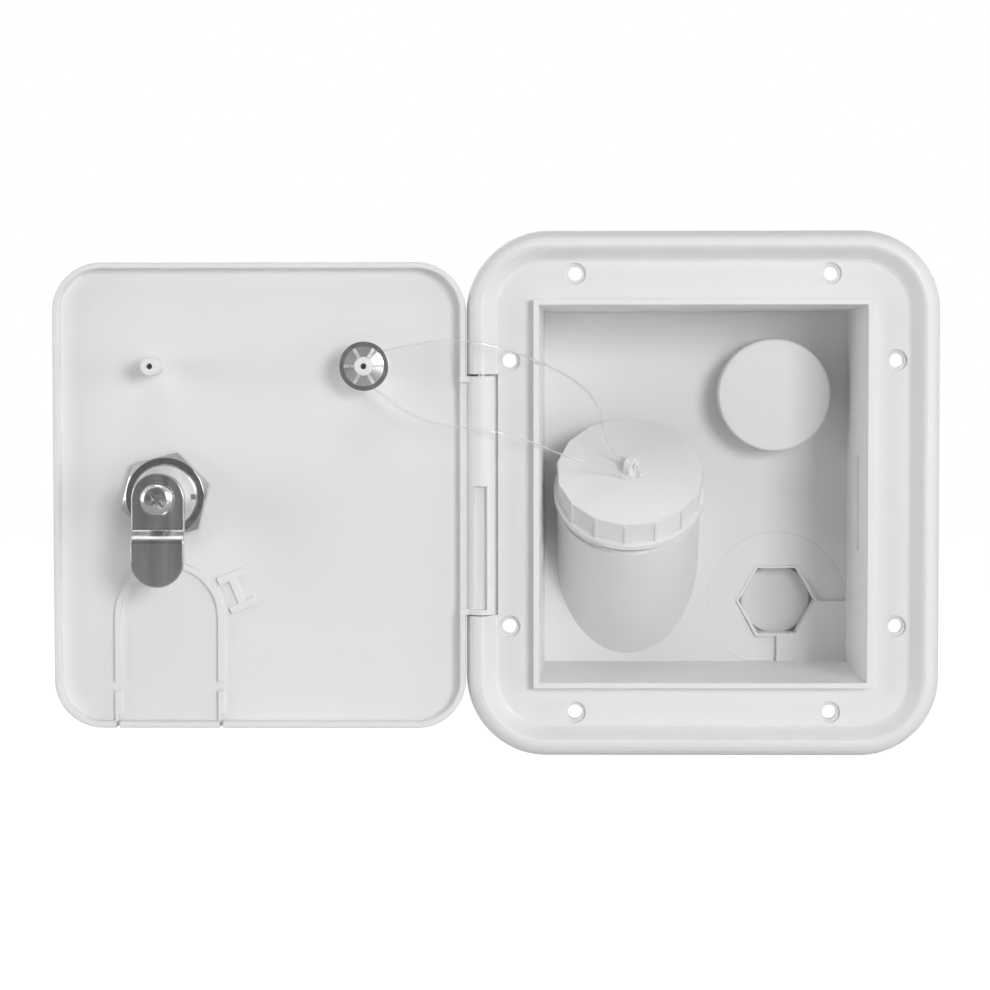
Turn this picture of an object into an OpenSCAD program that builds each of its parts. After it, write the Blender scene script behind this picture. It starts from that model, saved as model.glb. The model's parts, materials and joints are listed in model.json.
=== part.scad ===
// Fresh water fill inlet for a caravan wall: a moulded housing with an inclined filler neck,
// a screw cap on a cord and a lockable door, shown swung fully open against the wall.
// Millimetres. The origin is the centre of the flange's back face, which lies on the wall.
// +X is to the right, +Z is up and -Y points out of the wall.

/* [Frame] */
// Width of the flange
frame_w = 160; // [154:1:176]
// Height of the flange
frame_h = 178; // [170:1:196]
// Radius of the flange's outer corners
frame_r = 27; // [24:1:30]
// Width of the convex rim
rim_w = 10.5; // [10:0.5:12]
// Height of the rim's crest above the wall
rim_h = 12; // [12:0.5:13]
// Height of the rim's straight outer side
rim_side = 4.5; // [3:0.5:5]
// Distance of the crest from the outer edge
rim_crest = 5; // [4.5:0.5:5.5]
// Height of the flat ledge above the wall
ledge_h = 4; // [3.5:0.5:5]
// Thickness of the flange and the back wall
shell_t = 2.5; // [2:0.1:3]

/* [Recess] */
// Width of the recess at its lip
opening_w = 111; // [106:1:114]
// Height of the recess at its lip
opening_h = 128; // [124:1:132]
// Height of the lip above the ledge
lip_h = 5; // [4:0.5:6]
// Thickness of the lip and the side walls
recess_wall = 1.9; // [1.6:0.1:2.4]
// Depth of the recess from the lip to the back wall
recess_depth = 55; // [52:1:60]
// Draft of the side walls in degrees
draft = 2; // [1:0.5:3]

/* [Screw holes] */
// Diameter of the screw holes
screw_d = 4.8; // [4:0.1:5.5]
// Diameter of the counterbores
screw_head_d = 7.2; // [6.8:0.1:8]
// Depth of the counterbores
screw_sink = 1.2; // [0.8:0.1:1.6]
// Distance of the holes from the flange's edge
screw_inset = 14.45; // [13.5:0.05:15]
// Distance of the upper and lower holes from the centre line
screw_x = 43.25; // [30:0.25:46]
// Distance of the side holes from the centre line
screw_z = 45.2; // [43:0.1:55]

/* [Blank features] */
// Radius of the round blank boss
boss_r = 19.7; // [16:0.1:21]
// Height of the round blank boss above the back wall
boss_h = 14; // [8:0.5:18]
// Distance of the round blank boss from the recess's right side
boss_inset = 28.5; // [26:0.5:30]
// Height of the round blank boss over the centre
boss_z = 33; // [30:0.5:38]
// Distance of the hexagon socket from the recess's right side
hex_inset = 26.5; // [25:0.5:28]
// Height of the hexagon socket over the centre
hex_z = -40.5; // [-43:0.5:-38]
// Corner radius of the hexagon socket's wall
hex_r = 14.6; // [13:0.1:15.5]
// Thickness of the hexagon socket's wall
hex_wall = 1; // [0.8:0.1:1.4]
// Depth of the hexagon socket
hex_depth = 11; // [9:0.5:13]
// Radius of the round pocket about the hexagon
pocket_r = 24.5; // [22:0.5:26]
// Depth of the round pocket
pocket_depth = 3; // [2:0.5:4]

/* [Filler neck] */
// Tilt of the neck from vertical in degrees
neck_tilt = 45; // [40:1:50]
// Distance of the neck's axis from the recess's left side
neck_inset = 31.4; // [30:0.1:33]
// Height at which the neck's axis meets the back wall
neck_z = -23.9; // [-25:0.1:-20]
// Outer radius of the moulded shroud
shroud_r = 25; // [24.6:0.1:25.2]
// Length of the shroud along the neck's axis
shroud_len = 29.3; // [27:0.1:32]
// Radius of the neck's bore
neck_bore_r = 17.5; // [15:0.5:18]
// Outer radius of the hose tail
hose_r = 20; // [19:0.1:20.5]
// Length of the hose tail behind the back wall
tail_len = 30; // [26:1:40]
// Radius of the neck over its thread
thread_r = 22; // [21.6:0.1:22.2]
// Height of the threaded end
thread_len = 7.6; // [7:0.1:8]
// Thickness of the neck's collar
collar_t = 1.7; // [1.4:0.1:2.2]
// Thickness of the gasket under the collar
gasket_t = 0.6; // [0.4:0.1:1]

/* [Cap] */
// Corner radius of the faceted skirt
cap_r = 25.3; // [25:0.1:25.8]
// Number of flat facets round the skirt
cap_facets = 15; // [13:1:18]
// Thickness of the cap's top
cap_top = 2.5; // [2:0.1:3]
// Height of the round bead at the cap's foot
bead_h = 1.9; // [1.4:0.1:2.4]
// Radius of the round bead
bead_r = 26.3; // [26:0.1:26.8]
// Thickness of the sealing ring
seal_t = 1.9; // [1.4:0.1:2.4]
// Outer radius of the cord eye
eye_r = 3; // [2.6:0.1:3.4]
// Radius of the hole in the cord eye
eye_hole_r = 1.1; // [1:0.1:1.3]
// Thickness of the cord eye
eye_t = 2.6; // [2:0.1:3]

/* [Hinge] */
// Height of the hinge axis above the wall
hinge_h = 7.5; // [7.4:0.1:7.6]
// Radius of the hinge knuckle
knuckle_r = 4.5; // [4.3:0.1:4.6]
// Height of the knuckle's upper end over the centre
knuckle_top = 39.9; // [36:0.1:42]
// Height of the knuckle's lower end over the centre
knuckle_bottom = -40.8; // [-43:0.1:-38]
// Radius of the hinge pins
pin_r = 1.25; // [1:0.05:1.4]
// Length of pin inside the knuckle
pin_in_knuckle = 9; // [7:0.5:12]
// Length of pin inside the rim
pin_in_rim = 6; // [5:0.5:7]

/* [Door] */
// Thickness of the door's plate
door_t = 2.5; // [2.2:0.1:2.8]
// Thickness of the door's edge wall
door_wall = 2; // [1.6:0.1:2.4]
// Gap between the open door and the wall
door_lift = 1; // [0.8:0.1:1.2]
// Gap between the open door and the flange
door_gap = 0.3; // [0.2:0.1:0.5]
// How far the closed door reaches over the rim's foot
door_reach = 0.35; // [0:0.05:0.5]
// Gap between the closed door's edge and the ledge
door_shut_gap = 1.4; // [1:0.1:1.8]
// How far the hung door sags
door_sag = 0.5; // [0:0.1:0.6]
// Sideways place of both posts from the door's middle
post_x = 35.9; // [34:0.1:38]
// Height of both posts over the door's middle
post_z = 43.9; // [42:0.1:48]
// Radius of the posts
post_r = 3.2; // [3:0.1:3.6]
// Height of the posts above the door's inner face
post_h = 15.5; // [15:0.1:16]
// Radius of the holes in the posts
post_hole_r = 1; // [0.8:0.1:1.4]
// Sideways place of the cable flap's arch from the door's middle
arch_x = -31.3; // [-34:0.1:-28]
// Height of the arch's centre over the door's middle
arch_z = -41.3; // [-44:0.1:-38]
// Outer radius of the arch
arch_r = 18.6; // [16:0.1:20]
// Width of the raised ribs
rib_w = 2; // [1.6:0.1:2.4]
// Height of the raised ribs
rib_h = 1.8; // [1:0.1:2.4]

/* [Lock] */
// Sideways place of the lock from the door's middle
lock_x = -32.15; // [-34:0.05:-30]
// Height of the lock over the door's middle
lock_z = -0.3; // [-2:0.1:2]
// Radius of the lock's threaded barrel
barrel_r = 11; // [10.5:0.1:11.2]
// Width across the flats of the nut
nut_af = 27; // [26:0.5:28]
// Thickness of the nut
nut_t = 5; // [4:0.5:6]
// Radius of the lock's bezel
bezel_r = 13.5; // [13:0.1:15]
// Thickness of the lock's bezel
bezel_t = 1.4; // [1.2:0.1:1.6]
// Height of the cam's seat above the door's inner face
cam_seat_h = 22.6; // [22:0.1:23]
// Thickness of the cam
cam_t = 2.5; // [2.2:0.1:2.8]
// Width of the cam
cam_w = 17.6; // [16:0.1:18.5]
// Step of the cranked cam
cam_crank = 2.8; // [2:0.1:3]
// How far the turned cam reaches behind the keeper slot
cam_catch = 6.8; // [5:0.1:8]
// Side of the square drive
drive_w = 8; // [7:0.1:8.5]
// Radius of the cam screw's thread
cam_screw_r = 3; // [2.5:0.1:3.2]

/* [Cord] */
// Diameter of the nylon cord
cord_d = 0.6; // [0.5:0.1:1.2]

/* [Hidden] */
$fn = 96;

// Clearance of a part that turns in its bore
running = 0.05;
// Clearance of a part that is pushed into its bore
snug = 0.02;
// Overlap that keeps a cut clear of the face it starts from
over = 1;

// Planes measured along Y
lip_y = -(ledge_h + lip_h);
back_y = lip_y + recess_depth;
rear_y = back_y + shell_t;
box_half_w = opening_w / 2 + recess_wall;
box_half_h = opening_h / 2 + recess_wall;

// Sideways places on the back wall
neck_x = neck_inset - opening_w / 2;
boss_x = opening_w / 2 - boss_inset;
hex_x = opening_w / 2 - hex_inset;

// Hinge axis and the notch for the knuckle
hinge_x = -frame_w / 2 + rim_crest;
hinge_y = -hinge_h;
notch_floor_h = 2.5;
notch_gap_top = 0.7;
notch_gap_bottom = 0.4;
notch_top = knuckle_top + notch_gap_top;
notch_bottom = knuckle_bottom - notch_gap_bottom;
cheek_len = pin_in_rim + 2;

// Door planes and its middle
door_w = frame_w - 2 * rim_w + 2 * door_reach;
door_h = frame_h - 2 * rim_w + 2 * door_reach;
door_r = frame_r - rim_w;
door_x = -frame_w / 2 - door_gap - door_w / 2;
door_z = -door_sag;
floor_y = -(door_lift + door_t);
door_edge_h = 2 * hinge_h - ledge_h - door_shut_gap;
door_edge_r = 1.5;
door_edge_soft = 0.4;

// Lock axis, with the door open and shut
lock_ax = door_x + lock_x;
lock_az = door_z + lock_z;
shut_lock_x = 2 * hinge_x - lock_ax;
cam_back_y = floor_y - cam_seat_h;
cam_front_y = cam_back_y - cam_t;
tip_mid_h = -(cam_front_y + cam_back_y) / 2 + cam_crank;

// Keeper slot, worked out from the shut lock and the turned cam
slot_y = 2 * hinge_y + tip_mid_h;
slot_gap = 1.25;
slot_w = cam_t + 2 * slot_gap;
keeper_x = recess_half(opening_w / 2, slot_y);
cam_len = keeper_x - shut_lock_x + cam_catch;
slot_sweep = sqrt(pow(cam_len, 2) - pow(keeper_x - shut_lock_x, 2));
slot_top_gap = 4.3;
slot_end_gap = 0.8;
slot_top = lock_az + cam_w / 2 + slot_top_gap;
slot_bottom = lock_az - slot_sweep - slot_end_gap;

// Bezel, gasket and barrel of the lock
bezel_sink = 1.2;
bezel_soft = 0.4;
bezel_gap = 0.2;
bezel_floor_y = -door_lift - bezel_sink;
lock_gasket_t = 0.6;
bezel_back_y = bezel_floor_y + lock_gasket_t;
bezel_front_y = bezel_back_y + bezel_t;
barrel_proud = 1.3;
barrel_end_y = floor_y - nut_t - barrel_proud;
plug_r = barrel_r - 2.5;
plug_head_r = plug_r + 1;
plug_head_t = 1;
plug_gap = 0.1;
plug_front_y = bezel_front_y - plug_gap;
drive_short = 0.2;
stem_r = plug_r - 1.5;
stop_t = 1.2;
stop_r = barrel_r - 0.4;
cam_washer_t = 1.2;
cam_head_r = 5.4;
cam_head_h = 3.4;
cam_screw_len = 12;

// Wafers of the lock
wafer_count = 4;
wafer_t = 0.7;
wafer_w = 5.6;
wafer_half = 7.6;
wafer_pitch = 1.7;
wafer_gap = 0.1;
first_wafer = 1.6;
key_w = 1.8;
key_h = 8;
lug_w = 2.6;
lug_h = 1;
spring_x = wafer_w / 2 + 1.4;
spring_r = 0.75;
spring_wire = 0.3;
spring_len = 5;
spring_gap = 0.1;

// Washer that keeps the cord on the post
star_r = 8.3;
star_rim = 6.7;
star_t = 0.5;
star_rise = 1;
star_from_tip = 3;
star_y = floor_y - post_h + star_from_tip;

// Neck and cap, as distances along the neck's axis from the back wall
gasket_at = shroud_len;
collar_at = gasket_at + gasket_t;
thread_at = collar_at + collar_t;
neck_end = thread_at + thread_len;
cap_gap = 0.3;
cap_at = thread_at + cap_gap;
cap_face = neck_end + seal_t + cap_top;
cap_bore_r = thread_r + 0.9;
cap_cone = 0.8;
collar_r = shroud_r - 0.6;
eye_turn = -30;
eye_sink = 0.4;
eye_at = cap_face + cap_cone + eye_r - eye_sink;

// Route of the cord: from the eye of the cap, over the rim, round the post and back.
// The points are chosen by hand and lie on the cord's centre line.
CORD_ROUTE = [
    [-24.0, 12.8, 9.3], [-27.0, 13.5, 10.6], [-30.0, 12.5, 14.0], [-33.0, 11.0, 20.0],
    [-34.5, 9.0, 27.0], [-38.5, 5.0, 34.0], [-46.0, -3.0, 40.0], [-55.0, -11.0, 44.5],
    [-66.0, -17.0, 49.0], [-78.0, -19.5, 51.5], [-91.0, -18.8, 51.5], [-99.0, -16.6, 50.2],
    [-105.8, -15.0, 48.8], [-111.9, -14.9, 47.5], [-115.5, -14.9, 47.9], [-118.3, -14.9, 45.8],
    [-118.8, -14.9, 42.2], [-116.6, -14.9, 39.3], [-111.0, -15.0, 36.0], [-103.0, -17.0, 30.0],
    [-91.0, -19.0, 24.5], [-77.0, -19.0, 22.5], [-65.0, -17.0, 20.5], [-54.0, -11.0, 16.0],
    [-44.0, -2.0, 12.0], [-36.0, 5.5, 9.0], [-30.0, 9.0, 6.5], [-24.5, 10.6, 4.6],
    [-20.6, 10.4, 5.6], [-20.8, 11.4, 7.9], [-23.4, 12.5, 9.1]
];
cord_steps = 3;
cord_sides = 8;

// Plastic, metal and rubber colours
white = [0.87, 0.87, 0.87];
steel = [0.62, 0.62, 0.63];
dark_steel = [0.36, 0.36, 0.37];
rubber = [0.2, 0.2, 0.2];
nylon = [0.93, 0.93, 0.93];

// Half of the recess at a depth, given its half at the lip
function recess_half(half, y) = half - (y - lip_y) * tan(draft);

// Corners of a regular polygon
function ngon(r, n, turn = 0) = [
    for (i = [0:n - 1]) r * [cos(360 * i / n + turn), sin(360 * i / n + turn)]
];

// Places its children so that their XY plane faces out of the wall at a depth
module outward(x, y, z) {
    translate([x, y, z]) rotate([90, 0, 0]) children();
}

// Places its children along the neck's axis, at a distance from the back wall
module along_neck(t) {
    translate([neck_x, back_y, neck_z]) rotate([neck_tilt, 0, 0]) translate([0, 0, t]) children();
}

// Rectangle with round corners, centred
module round_rect(w, h, r) {
    square([w - 2 * r, h], center = true);
    square([w, h - 2 * r], center = true);
    for (x = [-1, 1], z = [-1, 1]) {
        translate([x * (w / 2 - r), z * (h / 2 - r)]) circle(r);
    }
}

// Sweeps a section round a rectangle with round corners.
// A section point is [distance in from the edge, height].
module swept_edge(w, h, r, section) {
    for (i = [0:3]) {
        half = i % 2 == 0 ? w / 2 : h / 2;
        other = i % 2 == 0 ? h / 2 : w / 2;
        rotate([0, 0, 90 * i]) {
            rotate([90, 0, 0]) linear_extrude(2 * (other - r), center = true) {
                polygon([for (p = section) [half - p.x, p.y]]);
            }
            translate([half - r, other - r, 0]) rotate_extrude(angle = 90) {
                polygon([for (p = section) [r - p.x, p.y]]);
            }
        }
    }
}

// Outline of the rim from its outer foot over the crest to the ledge, set in by a wall
function rim_curve(inset, foot_w, foot_h) = concat(
    [for (a = [0:15:90]) [
        rim_crest - (rim_crest - inset) * cos(a),
        rim_side + (rim_h - inset - rim_side) * sin(a)
    ]],
    [for (k = [1:6]) [
        rim_crest + (foot_w - rim_crest) * k / 6,
        foot_h + (rim_h - inset - foot_h) * (1 + cos(30 * k)) / 2
    ]]
);

function reversed(list) = [for (i = [len(list) - 1:-1:0]) list[i]];

function rim_solid() = concat([[0, 0]], rim_curve(0, rim_w, ledge_h), [[rim_w, 0]]);

function rim_section() = concat(
    [[0, 0]],
    rim_curve(0, rim_w, ledge_h),
    [[rim_w, ledge_h - shell_t]],
    reversed(rim_curve(shell_t, rim_w - 2, ledge_h - shell_t)),
    [[shell_t, 0]]
);

// Block with drafted sides that follow the recess, between two depths
module drafted_block(half_w, half_h, y0, y1) {
    spare = 10;
    intersection() {
        linear_extrude(2 * (half_h + spare), center = true) drafted_outline(half_w, y0, y1);
        rotate([0, 90, 0]) linear_extrude(2 * (half_w + spare), center = true) {
            drafted_outline(half_h, y0, y1);
        }
    }
}

module drafted_outline(half, y0, y1) {
    front = recess_half(half, y0);
    back = recess_half(half, y1);
    polygon([[-front, y0], [front, y0], [back, y1], [-back, y1]]);
}

module recess_space(y1) {
    drafted_block(opening_w / 2, opening_h / 2, lip_y - over, y1);
}

function screw_places() = concat(
    [for (x = [-1, 1], z = [-1, 1]) [x * screw_x, z * (frame_h / 2 - screw_inset)]],
    [for (x = [-1, 1], z = [-1, 1]) [x * (frame_w / 2 - screw_inset), z * screw_z]]
);

// Flange with its hollow rim, ledge and screw bosses
module flange() {
    foot = 1;
    screw_boss_wall = 1.6;
    hidden_w = 2 * (rim_w - foot);
    outward(0, 0, 0) {
        swept_edge(frame_w, frame_h, frame_r, rim_section());
        translate([0, 0, ledge_h - shell_t]) linear_extrude(shell_t) {
            round_rect(frame_w - hidden_w, frame_h - hidden_w, frame_r - rim_w + foot);
        }
        for (p = screw_places()) {
            translate([p.x, p.y, 0]) {
                cylinder(h = ledge_h - shell_t / 2, r = screw_head_d / 2 + screw_boss_wall);
            }
        }
    }
}

// Solid stretch of rim on each side of the hinge notch, and the notch's floor
module hinge_seat() {
    for (z = [notch_top, notch_bottom - cheek_len]) {
        translate([-frame_w / 2, 0, z]) linear_extrude(cheek_len) {
            polygon([for (p = rim_solid()) [p.x, -p.y]]);
        }
    }
    translate([-frame_w / 2, -notch_floor_h, notch_bottom - over]) {
        cube([rim_w, notch_floor_h, notch_top - notch_bottom + 2 * over]);
    }
}

module hinge_cuts() {
    translate([-frame_w / 2 - over, -rim_h - over, notch_bottom]) {
        cube([rim_w + over, rim_h + over - notch_floor_h, notch_top - notch_bottom]);
    }
    for (z = [notch_top - over, notch_bottom - pin_in_rim]) {
        translate([hinge_x, hinge_y, z]) cylinder(h = pin_in_rim + over, r = pin_r + snug);
    }
}

// Walls of the recess with the back wall
module recess_box() {
    difference() {
        drafted_block(box_half_w, box_half_h, lip_y, rear_y);
        recess_space(back_y);
    }
}

// Shroud of the filler neck, cut off at the back wall
module shroud() {
    root = shroud_r + 10;
    step_h = 1.2;
    intersection() {
        union() {
            along_neck(-root) cylinder(h = shroud_len - step_h + root, r = shroud_r);
            along_neck(0) cylinder(h = shroud_len, r = collar_r);
        }
        translate([-frame_w / 2, lip_y, -frame_h / 2]) cube([frame_w, rear_y - lip_y, frame_h]);
    }
}

module shroud_bores() {
    shroud_lid = 3;
    root = 2 * shroud_r;
    along_neck(-root) cylinder(h = shroud_len - shroud_lid + root, r = shroud_r - shell_t);
    along_neck(0) cylinder(h = shroud_len + over, r = hose_r + snug);
}

module blank_boss() {
    soft = 0.8;
    outward(boss_x, rear_y, boss_z) rotate_extrude() {
        polygon([
            [0, 0], [boss_r, 0], [boss_r, shell_t + boss_h - soft],
            [boss_r - 0.3 * soft, shell_t + boss_h - 0.3 * soft], [boss_r - soft, shell_t + boss_h],
            [0, shell_t + boss_h]
        ]);
    }
}

module blank_boss_hollow() {
    outward(boss_x, rear_y + over, boss_z) cylinder(h = boss_h + over, r = boss_r - shell_t);
}

// Thickening of the back wall behind the round pocket and the hexagon socket
module hex_backing() {
    socket_wall = 1.5;
    intersection() {
        outward(hex_x, rear_y + pocket_depth, hex_z) {
            cylinder(h = shell_t + pocket_depth, r = pocket_r + shell_t);
        }
        drafted_block(box_half_w, box_half_h, back_y, rear_y + pocket_depth);
    }
    outward(hex_x, back_y + hex_depth + shell_t, hex_z) {
        cylinder(h = hex_depth, r = hex_r + socket_wall);
    }
}

// Round pocket, less the hexagon's wall and the lower right quarter, which stay flush
module hex_pocket() {
    difference() {
        intersection() {
            outward(hex_x, back_y + pocket_depth, hex_z) cylinder(h = pocket_depth + over, r = pocket_r);
            recess_space(back_y + pocket_depth);
        }
        outward(hex_x, back_y + pocket_depth + over, hex_z) {
            cylinder(h = pocket_depth + 3 * over, r = hex_r, $fn = 6);
            translate([0, -2 * pocket_r, 0]) cube([2 * pocket_r, 2 * pocket_r, pocket_depth + 3 * over]);
        }
    }
}

module hex_socket() {
    outward(hex_x, back_y + hex_depth, hex_z) {
        cylinder(h = hex_depth + over, r = hex_r - hex_wall / cos(30), $fn = 6);
    }
}

// Domed disc at the bottom of the hexagon socket
module socket_disc() {
    disc_r = 12.2;
    disc_h = 1.6;
    dome_h = 1.2;
    outward(hex_x, back_y + hex_depth + over, hex_z) rotate_extrude() {
        polygon(concat(
            [[0, 0], [disc_r, 0]],
            [for (a = [0:15:90]) [disc_r * cos(a), over + disc_h + dome_h * sin(a)]]
        ));
    }
}

module screw_cuts() {
    for (p = screw_places()) {
        outward(p.x, over, p.y) cylinder(h = ledge_h + 2 * over, r = screw_d / 2);
        outward(p.x, screw_sink - ledge_h, p.y) cylinder(h = screw_sink + over, r = screw_head_d / 2);
    }
}

module keeper_slot() {
    translate([shut_lock_x, slot_y - slot_w / 2, slot_bottom]) {
        cube([frame_w / 2 - shut_lock_x, slot_w, slot_top - slot_bottom]);
    }
}

module housing() {
    color(white) difference() {
        union() {
            difference() {
                union() {
                    flange();
                    hinge_seat();
                }
                recess_space(rear_y);
            }
            recess_box();
            shroud();
            blank_boss();
            hex_backing();
        }
        hinge_cuts();
        screw_cuts();
        keeper_slot();
        shroud_bores();
        blank_boss_hollow();
        hex_pocket();
        difference() {
            hex_socket();
            socket_disc();
        }
    }
}

// Neck in one revolve: hose tail with barbs, collar, threaded end and bore
module filler_neck() {
    barb = 0.7;
    barb_len = 5;
    barb_count = 3;
    tail_end = -tail_len;
    tail_taper = 0.8;
    collar_soft = 0.3;
    thread_soft = 0.6;
    color(white) along_neck(0) rotate_extrude() {
        polygon(concat(
            [[neck_bore_r, neck_end], [neck_bore_r, tail_end]],
            [[hose_r - tail_taper, tail_end]],
            [for (i = [0:barb_count - 1], p = [[barb, 0.5], [0, 0.52]])
                [hose_r + p.x, tail_end + (i + p.y) * barb_len]],
            [[hose_r, collar_at], [collar_r, collar_at], [collar_r, thread_at - collar_soft]],
            [[collar_r - collar_soft, thread_at], [thread_r, thread_at]],
            [[thread_r, neck_end - thread_soft], [thread_r - thread_soft, neck_end]]
        ));
    }
}

module neck_gasket() {
    outer_gap = 0.4;
    inner_gap = 0.3;
    color(rubber) along_neck(gasket_at) difference() {
        cylinder(h = gasket_t, r = collar_r - outer_gap);
        translate([0, 0, -over]) cylinder(h = gasket_t + 2 * over, r = hose_r + inner_gap);
    }
}

module hinge_pin_upper() {
    color(steel) translate([hinge_x, hinge_y, knuckle_top - pin_in_knuckle]) {
        cylinder(h = pin_in_knuckle + notch_gap_top + pin_in_rim - snug, r = pin_r);
    }
}

module hinge_pin_lower() {
    color(steel) translate([hinge_x, hinge_y, notch_bottom - pin_in_rim + snug]) {
        cylinder(h = pin_in_knuckle + notch_gap_bottom + pin_in_rim - snug, r = pin_r);
    }
}

// Section of the door's edge: a rounded outer corner and the wall that stands on the plate
function door_edge_section() = let (top = door_edge_h - door_lift) concat(
    [for (a = [0:30:90]) door_edge_r * [1 - sin(a), 1 - cos(a)]],
    [[0, top - door_edge_soft], [door_edge_soft, top]],
    [[door_wall - door_edge_soft, top], [door_wall, top - door_edge_soft]],
    [[door_wall, 0]]
);

module door_shell() {
    outward(door_x, -door_lift, door_z) {
        swept_edge(door_w, door_h, door_r, door_edge_section());
        linear_extrude(door_t) {
            round_rect(door_w - 2 * door_edge_r, door_h - 2 * door_edge_r, door_r - door_edge_r);
        }
    }
}

// Knuckle with the web and the two end ribs that carry it on the door
module knuckle() {
    web_gap = 0.5;
    knuckle_len = knuckle_top - knuckle_bottom;
    web_back = -(notch_floor_h + web_gap);
    near = -frame_w / 2 - door_gap - door_wall;
    translate([hinge_x, hinge_y, knuckle_bottom]) cylinder(h = knuckle_len, r = knuckle_r);
    translate([near, hinge_y, knuckle_bottom]) cube([hinge_x - near, web_back - hinge_y, knuckle_len]);
    for (z = [knuckle_bottom, knuckle_top - door_wall]) {
        translate([near, -door_edge_h, z]) cube([hinge_x - near, door_edge_h + web_back, door_wall]);
    }
}

module knuckle_cuts() {
    pocket_x0 = -2.5;
    pocket_x1 = 1.9;
    pocket_top = 2.8;
    pocket_floor = 1.9;
    pocket_end = 1.8;
    bore_h = pin_in_knuckle + 1;
    for (z = [knuckle_top - bore_h, knuckle_bottom - over]) {
        translate([hinge_x, hinge_y, z]) cylinder(h = bore_h + over, r = pin_r + running);
    }
    translate([hinge_x + pocket_x0, hinge_y - 2 * knuckle_r, knuckle_bottom + pocket_end]) {
        cube([
            pocket_x1 - pocket_x0,
            2 * knuckle_r - pocket_floor,
            pocket_top - knuckle_bottom - pocket_end
        ]);
    }
}

// Arch of the cable flap with its two legs, broken near the foot
module arch_rib() {
    break_z = -22.3;
    break_h = 3.1;
    foot_z = -(door_h / 2 - door_wall) - arch_z;
    outward(door_x + arch_x, floor_y, door_z + arch_z) linear_extrude(rib_h) {
        intersection() {
            difference() {
                circle(arch_r);
                circle(arch_r - rib_w);
            }
            translate([-arch_r, 0]) square([2 * arch_r, arch_r]);
        }
        for (x = [-arch_r, arch_r - rib_w]) {
            translate([x, break_z]) square([rib_w, -break_z]);
            translate([x, foot_z]) square([rib_w, break_z - break_h - foot_z]);
        }
    }
}

module i_rib() {
    i_x = -8.25;
    i_z = -32.6;
    i_turn = 23;
    stem = [2.4, 13.4];
    bar = [9.5, 2.7];
    outward(door_x + i_x, floor_y, door_z + i_z) rotate([0, 0, i_turn]) linear_extrude(0.6 * rib_h) {
        square(stem, center = true);
        for (z = [-1, 1]) {
            translate([0, z * (stem.y - bar.y) / 2]) square(bar, center = true);
        }
    }
}

module on_post(side, h) {
    outward(door_x + side * post_x, floor_y - h, door_z + post_z) children();
}

module post(side) {
    post_soft = 0.4;
    on_post(side, -over) cylinder(h = post_h + over - post_soft, r = post_r);
    on_post(side, post_h - post_soft) cylinder(h = post_soft, r1 = post_r, r2 = post_r - post_soft);
}

// Slits beside the cable flap, through the door's lower wall
module flap_slits() {
    slit_w = 1.2;
    slit_x = door_x + arch_x + rib_w - slit_w;
    for (x = [-arch_r, arch_r - rib_w]) {
        translate([slit_x + x, -door_edge_h - over, door_z - door_h / 2 - over]) {
            cube([slit_w, door_edge_h + over + floor_y, door_wall + 3 * over]);
        }
    }
}

// Opening in the door's edge wall beside the knuckle
module knuckle_doorway() {
    meet = 0.01;
    translate([door_x + door_w / 2 - door_wall - over, -door_edge_h - over, knuckle_bottom + meet]) {
        cube([door_wall + 2 * over, door_edge_h + over + floor_y, knuckle_top - knuckle_bottom]);
    }
}

module door_panel() {
    post_hole_depth = 6;
    color(white) difference() {
        union() {
            difference() {
                door_shell();
                knuckle_doorway();
            }
            knuckle();
            arch_rib();
            i_rib();
            for (side = [-1, 1]) post(side);
        }
        knuckle_cuts();
        flap_slits();
        for (side = [-1, 1]) {
            on_post(side, post_h - post_hole_depth) cylinder(h = post_hole_depth + over, r = post_hole_r);
        }
        on_lock(0) cylinder(h = over - floor_y, r = barrel_r + running);
        on_lock(bezel_floor_y + bezel_sink + over) {
            cylinder(h = bezel_sink + over, r = bezel_r + bezel_gap);
        }
    }
}

// Places its children on the lock's axis, facing out of the door's inner side
module on_lock(y) {
    outward(lock_ax, y, lock_az) children();
}

module lock_housing() {
    side_y = bezel_front_y - bezel_soft;
    color(steel) difference() {
        union() {
            on_lock(bezel_front_y) cylinder(h = bezel_soft, r1 = bezel_r - bezel_soft, r2 = bezel_r);
            on_lock(side_y) cylinder(h = side_y - bezel_back_y, r = bezel_r);
            on_lock(side_y) cylinder(h = side_y - barrel_end_y, r = barrel_r);
        }
        on_lock(bezel_front_y + over) {
            cylinder(h = bezel_front_y - barrel_end_y + 2 * over, r = plug_r + running);
            cylinder(h = plug_head_t + plug_gap + over, r = plug_head_r + plug_gap);
        }
    }
}

module lock_gasket() {
    color(rubber) on_lock(bezel_back_y) difference() {
        cylinder(h = lock_gasket_t, r = bezel_r - bezel_soft);
        translate([0, 0, -over]) cylinder(h = lock_gasket_t + 2 * over, r = barrel_r + running);
    }
}

// Hexagon nut with chamfered corners on both faces
module lock_nut() {
    corner_r = nut_af / 2 / cos(30);
    chamfer_r = nut_af / 2 - 0.3;
    chamfer_h = 1.1;
    color(steel) on_lock(floor_y) difference() {
        intersection() {
            rotate([0, 0, 15]) cylinder(h = nut_t, r = corner_r, $fn = 6);
            rotate_extrude() polygon([
                [0, 0], [chamfer_r, 0], [corner_r + 0.1, chamfer_h],
                [corner_r + 0.1, nut_t - chamfer_h], [chamfer_r, nut_t], [0, nut_t]
            ]);
        }
        translate([0, 0, -over]) cylinder(h = nut_t + 2 * over, r = barrel_r + running);
    }
}

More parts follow.
